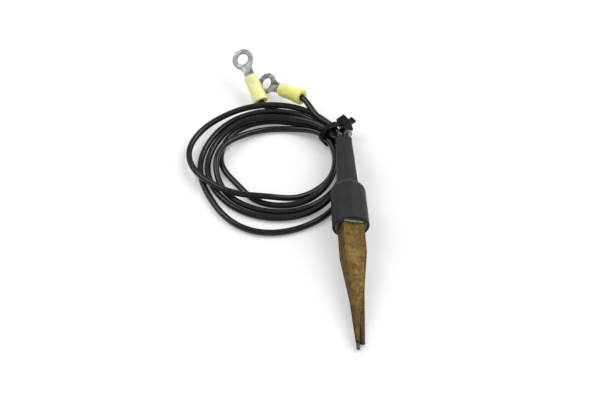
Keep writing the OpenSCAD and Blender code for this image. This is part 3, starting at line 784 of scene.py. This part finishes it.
def pin_points(reach_out):
    """A round bar with a half-ball nose, and a swell of braze where it leaves the
    blade. It lies under the blade's sloping top, with its root PIN_SEAT behind
    the nose."""
    r, end = PIN_D / 2, PIN_SEAT + reach_out
    shaft = np.linspace(0, end - r, 26)
    swell = SWELL * np.exp(-((shaft - PIN_SEAT + SWELL_BEHIND) / SWELL_SPREAD) ** 2)
    profile = np.vstack([
        np.stack([r + swell, shaft], -1),
        arc((0, end - r), r, 0, 84, 12)[1:],
    ])
    points = turned(profile, 40) + [0, -r, -PIN_SEAT]
    under_nose = [PIN_SIDE, NOSE_H / 2 - SHEET - FOOT, BLADE_LEN]
    return points @ rot("x", math.degrees(nose_slope)).T + under_nose


for which, roll in ARM_ROLL.items():
    pin = surface(f"{which}_pin_turned", in_probe(pin_points(PIN_REACH[which]), roll), pin_steel,
                  f"{which}_arm")
    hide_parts(f"{which}_contact_pin")


def braze_rings():
    """Braze run between a pin and the channel's outer wall.

    At each reach a curve of one bend leads from the wall's foot round to the
    pin's free side, with its ends set a little inside what they join. The back
    lies hidden inside the pin and the wall, and at the rear end the curve draws
    in to a middle point, by the root of the distance.
    """
    z = np.linspace(BLADE_LEN - BRAZE_LEN, BLADE_LEN - 0.0003, 40)
    half, shift, height, seam = channel_size(z)
    wall = shift - half
    foot = np.minimum(seam, height - SHEET - FOOT)
    pin_x = PIN_SIDE + 0 * z
    pin_low = height - SHEET - FOOT - PIN_D
    start = np.stack([wall + 0.00008, foot + 0.00002], -1)[:, None]
    bend = np.stack([wall + 0.00012, pin_low * 0.75 + foot * 0.25], -1)[:, None]
    finish = np.stack([pin_x - 0.0002, pin_low + 0.00004], -1)[:, None]
    middle = np.stack([pin_x - 0.0004, pin_low + 0.0007], -1)[:, None]
    in_pin = np.stack([pin_x, pin_low + PIN_D / 2], -1)[:, None]
    in_wall = np.stack([wall + SHEET, foot + 0.0004], -1)[:, None]
    t = np.linspace(0, 1, 9)[None, :, None]
    skin = start * (1 - t) ** 2 + 2 * bend * t * (1 - t) + finish * t ** 2
    grow = np.sqrt(np.minimum(1, (z - z[0]) / BRAZE_START + 0.02))[:, None, None]
    ring = np.concatenate([middle + (skin - middle) * grow, in_pin, in_wall], 1)
    return np.concatenate([ring, z[:, None, None] + 0 * ring[:, :, :1]], -1)


for which, roll in ARM_ROLL.items():
    braze = surface(f"{which}_braze", in_probe(braze_rings(), roll), pin_steel, f"{which}_arm",
                    sharp=50)


# ---------------------------------------- adhesive and inner pieces
# Dark adhesive fills the mouth round the blades, drawn up the wall, with a bead
# of pale glue where the upper blade leaves it, made paler by a painted highlight.
# Behind it are the insulating bar, the stripped conductors and their solder.
RING_WIDTH = 0.0005  # of the adhesive drawn up the wall
RING_RISE = 0.0004
RING_DEPTH = 0.0009  # of its foot, behind the mouth
BEAD_R = 0.0006
BEAD_INSET = 0.0004  # from the blade's sides to the bead's ends

adhesive = even_finish("set_adhesive", (0.12, 0.12, 0.11), 0.25, 0.4, 900, 0.00012)
tinted(adhesive, (0.026, 0.028, 0.034), (0.13, 0.125, 0.10), 420)
adjust(adhesive, {"Subsurface Weight": 0.2, "Subsurface Scale": 0.001})
dress("mouth_potting", adhesive)


def rippled(angle, reach):
    """Seven small waves round the ring of adhesive."""
    return 0.00004 * np.sin(7 * angle) + 0 * reach


def meniscus():
    """A ring of adhesive drawn up the wall of the bore: its height falls off as
    a parabola from the wall inwards."""
    wall = mouth_bore - 0.00002
    t = np.linspace(0, 1, 9)
    skin = np.stack([wall - RING_WIDTH * t, -0.00005 - RING_RISE * (1 - (1 - t) ** 2)], -1)
    foot = [[wall - RING_WIDTH, -RING_DEPTH], [wall - 0.00005, -RING_DEPTH]]
    return turned(np.vstack([skin, foot]), SLEEVE_SIDES, rippled)


ring = surface("adhesive_ring", in_probe(meniscus()), adhesive, "handle", wrap_rows=True, sharp=60)


def root_bead():
    """A bead laid along the top of the upper blade where it leaves the adhesive:
    a flattened round section that swells from nothing at both ends, a little
    unevenly, and follows the folds down."""
    t = np.linspace(0, 1, 40)
    size = BEAD_R * np.sin(np.pi * t) ** 0.35 * (1 + 0.12 * np.sin(17 * t) + 0.08 * np.sin(41 * t))
    size = np.maximum(size, 0.00004)[:, None]
    x = -BLADE_W / 2 + BEAD_INSET + (BLADE_W - 2 * BEAD_INSET) * t
    into_fold = np.clip((np.abs(x) - BLADE_W / 2 + FOLD) / FOLD, 0, 0.98)
    y = PAIR_H / 2 - 0.0001 - FOLD * (1 - np.sqrt(1 - into_fold ** 2))
    a = np.linspace(0, 2 * np.pi, 16, endpoint=False)
    return np.stack([x[:, None] + 0 * a, y[:, None] + 0.7 * size * np.sin(a),
                     size * np.cos(a) - 0.00025], -1)


# Pale glue, made paler still by a painted highlight along its meniscus.
glue_bead_and_highlight = even_finish("glue_bead_and_highlight", (0.42, 0.41, 0.33), 0.25, 0.4, 900, 0.00008)
tinted(glue_bead_and_highlight, (0.44, 0.42, 0.31), (0.74, 0.71, 0.55), 700)
bead = surface("adhesive_bead", in_probe(root_bead(), BLADE_ROLL), glue_bead_and_highlight, "handle")

fibre = even_finish("fibre", (0.60, 0.56, 0.45), 0.5, 0.7, 1200, 0.00005)
copper = metal_finish("copper_strands", (0.45, 0.22, 0.13), (0.62, 0.34, 0.21), 900, 0.3, 0.5, 0.9)
solder = metal_finish("solder", (0.42, 0.42, 0.43), (0.58, 0.58, 0.6), 600, 0.25, 0.45, 0.9)
dress("blade_spacer", fibre)
for which in ARM_ROLL:
    dress(f"{which}_conductor", copper)
    dress(f"{which}_solder", solder)
for which in "ab":
    dress(f"crimped_core_{which}", copper)


# ---------------------------------------- cable tie
# One black nylon moulding: the strap goes round the seven packed leads and up
# through its own head, and its end is cut off short.
STRAP_W = 0.0029
STRAP_EDGE = 0.00018  # rounding of its edges
HEAD_W = 0.0058
HEAD_LEN = 0.0066
HEAD_H = 0.0043
HEAD_ANGLE = 15  # where the head sits round the bundle, in degrees
HEAD_LIFT = 0.0011  # how far it stands off the leads
STUB = 0.0029  # length of the cut end that stands out of the head

tie_radius = COIL_RADIUS + PITCH * TIE_LANE
tie_centre = np.array([
    COIL_CENTRE[0] + tie_radius * math.cos(math.radians(TIE_ANGLE)),
    COIL_CENTRE[1] + tie_radius * math.sin(math.radians(TIE_ANGLE)),
    WIRE / 2 + PITCH * TIE_LEVEL,
])
tie_axes = rot("z", TIE_ANGLE) @ np.array([[1, 0, 0], [0, 0, 1], [0, 1, 0]])
head_axes = tie_axes @ rot("z", HEAD_ANGLE)
flat_r = PITCH * ROW + WIRE / 2 + STRAP_GAP + HEAD_LIFT


def bundle_outline(out):
    """The loop pulled tight round the six outer leads and the head's two feet.

    For each direction it takes the furthest of the circles about them, so
    arcs follow one another with straight runs between.
    """
    spin = np.radians(60 * np.arange(6))
    lead_at = PITCH * np.stack([np.cos(spin), np.sin(spin)], -1)
    foot_at = np.array([[flat_r - STRAP_GAP, side * HEAD_LEN / 4] for side in (-1, 1)])
    centres = np.vstack([lead_at, foot_at @ rot("z", HEAD_ANGLE)[:2, :2].T])
    radii = np.array([WIRE / 2 + out] * 6 + [out] * 2)
    a = np.radians(np.arange(0, 360, 5))
    facing = np.stack([np.cos(a), np.sin(a)], -1)
    furthest = np.argmax(facing @ centres.T + radii, axis=1)
    return centres[furthest] + radii[furthest, None] * facing


def strap_rings():
    """The strap's section, a flat bar with round edges, carried round the bundle.

    A corner is: on the outer face or not, on which side, and its steps outwards
    and sideways, in edge roundings.
    """
    inner, outer = bundle_outline(STRAP_GAP), bundle_outline(STRAP_GAP + STRAP_T)
    corners = [
        (0, -1, 0, 1), (0, 1, 0, -1), (0, 1, 1, 0), (1, 1, -1, 0), (1, 1, 0, -1),
        (1, -1, 0, 1), (1, -1, -1, 0), (0, -1, 1, 0),
    ]
    rings = []
    for outside, side, step_out, step_side in corners:
        face = outer if outside else inner
        face = face + (outer - inner) / STRAP_T * STRAP_EDGE * step_out
        width = side * STRAP_W / 2 + step_side * STRAP_EDGE
        rings.append(np.column_stack([face, np.full(len(face), width)]))
    return np.stack(rings, 1)


def head_rings():
    """A block with a window through it: outer walls up, over, and down inside."""
    def block_ring(half_y, half_z, height, corner):
        """A rectangle with round corners: a wide circle held to the sides."""
        a = np.radians(np.linspace(0, 360, 40, endpoint=False))
        y = np.clip(half_y * 1.5 * np.cos(a), -half_y + corner, half_y - corner)
        z = np.clip(half_z * 1.5 * np.sin(a), -half_z + corner, half_z - corner)
        return np.column_stack([
            np.full(len(a), height), y + corner * np.cos(a), z + corner * np.sin(a)])

    y, z, edge = HEAD_LEN / 2, HEAD_W / 2, 0.00025
    window_y, window_z, lead_in = STRAP_T, STRAP_W / 2 + 0.0002, 0.0001
    low, ledge, high = flat_r, flat_r + STRAP_T, flat_r + HEAD_H
    return np.stack([
        block_ring(y - edge, z - edge, low, 0.0003),
        block_ring(y, z, low + edge, 0.0005),
        block_ring(y, z, high - edge, 0.0005),
        block_ring(y - edge, z - edge, high, 0.0003),
        block_ring(window_y + lead_in, window_z + lead_in, high, 0.0001),
        block_ring(window_y, window_z, high - 0.0002, 0.0001),
        block_ring(window_y, window_z, ledge, 0.0001),
        block_ring(window_y * 0.5, window_z * 0.5, ledge, 0.0001),
        block_ring(window_y * 0.5, window_z * 0.5, low, 0.0001),
    ])


def stub_rings():
    """The cut end: a flat bar out of the window, its cut a little slanted."""
    end, edge, slant = flat_r + HEAD_H + STUB, 0.0001, 0.0003
    x = np.array([flat_r + STRAP_T / 2, end - edge, end])
    inset = np.array([0, 0, edge])
    a = np.radians(np.linspace(0, 360, 24, endpoint=False))
    y = np.clip(1.5 * np.cos(a), -1, 1) * (STRAP_T / 2 - inset[:, None]) - STRAP_T / 2
    z = np.clip(1.5 * np.sin(a), -1, 1) * (STRAP_W / 2 - inset[:, None])
    drop = np.array([0, slant, slant])[:, None] * (1 + np.sin(a)) / 2
    return np.stack([x[:, None] - drop, y, z], -1)


nylon = even_finish("tie_nylon", (0.004, 0.004, 0.004), 0.24, 0.4, 900, 0.00009)
adjust(nylon, {"Specular IOR Level": 0.14})
strap = surface("tie_strap", tie_centre + strap_rings() @ tie_axes.T, nylon, "handle",
                wrap_rows=True, sharp=50)
head = surface("tie_head", tie_centre + head_rings() @ head_axes.T, nylon, "handle", sharp=35)
stub = surface("tie_stub", tie_centre + stub_rings() @ head_axes.T, nylon, "handle", sharp=35)
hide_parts("cable_tie")


# ---------------------------------------- ring terminals
# Each is stamped from one tinned strip: a ring, a short tongue, and a barrel
# rolled up and crimped on the strands.
STUD_R = 0.0026
RING_R = 0.0049
TONGUE_T = 0.0010
TONGUE_W = 0.0045
PLATE_EDGE = 0.00016  # rounding of the stamped edges
TERMINAL_LEN = 0.0231  # from the insulation's rear end to the stud hole's middle
VINYL_LEN = 0.0132
BARREL_R = 0.00235
BARREL_START = 0.0052
NECK_START = VINYL_LEN - 0.001
TONGUE_START = VINYL_LEN + 0.0015  # where the barrel has become flat


def in_terminal(points, which):
    """Points of a terminal's own frame (x to the stud hole) in the part's."""
    return terminal_place[which][0] + points @ terminal_axes[which].T


def ring_and_tongue():
    """A plate round the stud hole, with rounded edges.

    Its outer edge is the ring's circle, which runs into the tongue's straight
    sides and its end within 1.2 radians of the barrel: the two radii are joined
    by a sum of fifth powers, and the end is cut straight within 13 degrees.
    """
    a = np.radians(np.concatenate([
        np.linspace(-150, 150, 84, endpoint=False),
        np.linspace(150, 210, 60, endpoint=False),
    ]))
    off = np.abs(np.pi - np.mod(a, 2 * np.pi))
    end = (TERMINAL_LEN - VINYL_LEN - 0.0004) / np.cos(np.minimum(off, 1.2))
    side = (TONGUE_W / 2) / np.maximum(np.sin(off), 1e-6)
    tongue = np.where(off < 1.2, np.minimum(end, side), 0)
    outer = (tongue ** 5 + RING_R ** 5) ** 0.2
    outer = np.where(off < math.radians(13), np.minimum(outer, end), outer)
    t, e = TONGUE_T / 2, PLATE_EDGE
    rows = []
    for r, z in (
        (STUD_R + e, t), (outer - e, t), (outer, t - e), (outer, e - t), (outer - e, -t),
        (STUD_R + e, -t), (STUD_R, e - t), (STUD_R, t - e),
    ):
        r = r + 0 * a
        rows.append(np.stack([TERMINAL_LEN + r * np.cos(a), r * np.sin(a), z + 0 * a], -1))
    return np.stack(rows)


def barrel_and_neck():
    """A round barrel that is pressed flat into the tongue: the section goes from
    a circle to a flat bar, each point at the mix of the two."""
    x = np.concatenate([[BARREL_START], np.linspace(NECK_START, TONGUE_START + 0.0004, 14)])
    t = ramp01(x, NECK_START, TONGUE_START)[:, None]
    t = t * t * (3 - 2 * t)
    a = np.linspace(0, 2 * np.pi, 48, endpoint=False)[None, :]
    round_y, round_z = BARREL_R * np.cos(a), BARREL_R * np.sin(a)
    flat_y = np.clip(1.25 * np.cos(a), -1, 1) * TONGUE_W / 2
    flat_z = np.clip(2.2 * np.sin(a), -1, 1) * TONGUE_T / 2
    y, z = round_y * (1 - t) + flat_y * t, round_z * (1 - t) + flat_z * t
    return np.stack([x[:, None] + 0 * y, y, z], -1)


tin = {
    "a": metal_finish("bright_tin", (0.22, 0.22, 0.21), (0.68, 0.68, 0.66), 420, 0.5, 0.66, 0.55),
    "b": metal_finish("dull_tin", (0.055, 0.050, 0.032), (0.66, 0.65, 0.61), 420, 0.42, 0.6, 0.6),
}
for which in "ab":
    plate = surface(f"terminal_ring_{which}", in_terminal(ring_and_tongue(), which), tin[which],
                    "handle", wrap_rows=True, sharp=50)
    neck = surface(f"terminal_barrel_{which}", in_terminal(barrel_and_neck(), which), tin[which],
                   "handle", sharp=50)
    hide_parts(f"ring_terminal_{which}")


# ---------------------------------------- terminal insulation
# Soft yellow vinyl, pushed over the barrel and crimped with it: a wider entry
# for the lead, a small step, and two dents where the tool's jaws closed.
VINYL_R = 0.0034
ENTRY = 0.0046  # length of the wider entry
ENTRY_STEP = 0.0002
BORE_R = 0.0017
VINYL_EDGE = 0.0003
JAW_AT = 0.0088  # middle of the dents, from the rear end
JAW_DEPTH = 0.00034
JAW_SPREAD = 0.0017


def vinyl_skin():
    """The cover's outside and bore as one turned profile, dented above and below."""
    cover_r, edge = VINYL_R - ENTRY_STEP, VINYL_EDGE
    barrel_bore = BARREL_R + 0.0001
    profile = np.vstack([
        [[BORE_R, 0.0001]],
        arc((VINYL_R - edge, edge), edge, -90, 0, 6),
        straight_run((VINYL_R, 0.0007), (VINYL_R, ENTRY - 0.0002), 6),
        straight_run((VINYL_R - 0.00006, ENTRY + 0.0001), (cover_r, ENTRY + 0.0005), 3),
        straight_run((cover_r, ENTRY + 0.0009), (cover_r, VINYL_LEN - 0.0005), 22),
        arc((cover_r - edge, VINYL_LEN - edge), edge, 0, 90, 6),
        [[barrel_bore, VINYL_LEN], [barrel_bore, BARREL_START - 0.0001],
         [BORE_R, BARREL_START - 0.0001]],
    ])

    def dented(a, x):
        """Two dents, each a bell curve both ways, small waves, and a flared entry."""
        outside = profile[:, :1] > BARREL_R + 0.0003
        jaw = np.exp(-((x - JAW_AT) / JAW_SPREAD) ** 2)
        dent = np.exp(-((np.mod(a, np.pi) - np.pi / 2) / 0.45) ** 2)
        wave = 0.00004 * np.sin(3 * a + 700 * x)
        flare = 0.00008 * np.cos(2 * a) * np.exp(-(x / 0.0025) ** 2)
        return outside * (-JAW_DEPTH * jaw * dent + wave + flare)

    return turned(profile, 72, dented)[:, :, [2, 0, 1]]


def vinyl_finish(name, dark, pale):
    """Milky coloured vinyl: light soaks a little way in, and the skin is satin."""
    mat = tinted(even_finish(name, pale, 0.38, 0.5, 1400, 0.00003), dark, pale, 300)
    adjust(mat, {"Subsurface Weight": 0.5, "Subsurface Scale": 0.0015,
                 "Subsurface Radius": (1.0, 0.9, 0.4)})
    return mat


vinyl = {
    "a": vinyl_finish("pale_vinyl", (0.99, 0.95, 0.36), (1.0, 0.98, 0.44)),
    "b": vinyl_finish("warm_vinyl", (1.0, 0.86, 0.25), (1.0, 0.91, 0.33)),
}
for which in "ab":
    cover = surface(f"vinyl_cover_{which}", in_terminal(vinyl_skin(), which), vinyl[which],
                    "handle", wrap_rows=True, sharp=50)
    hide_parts(f"terminal_vinyl_{which}")
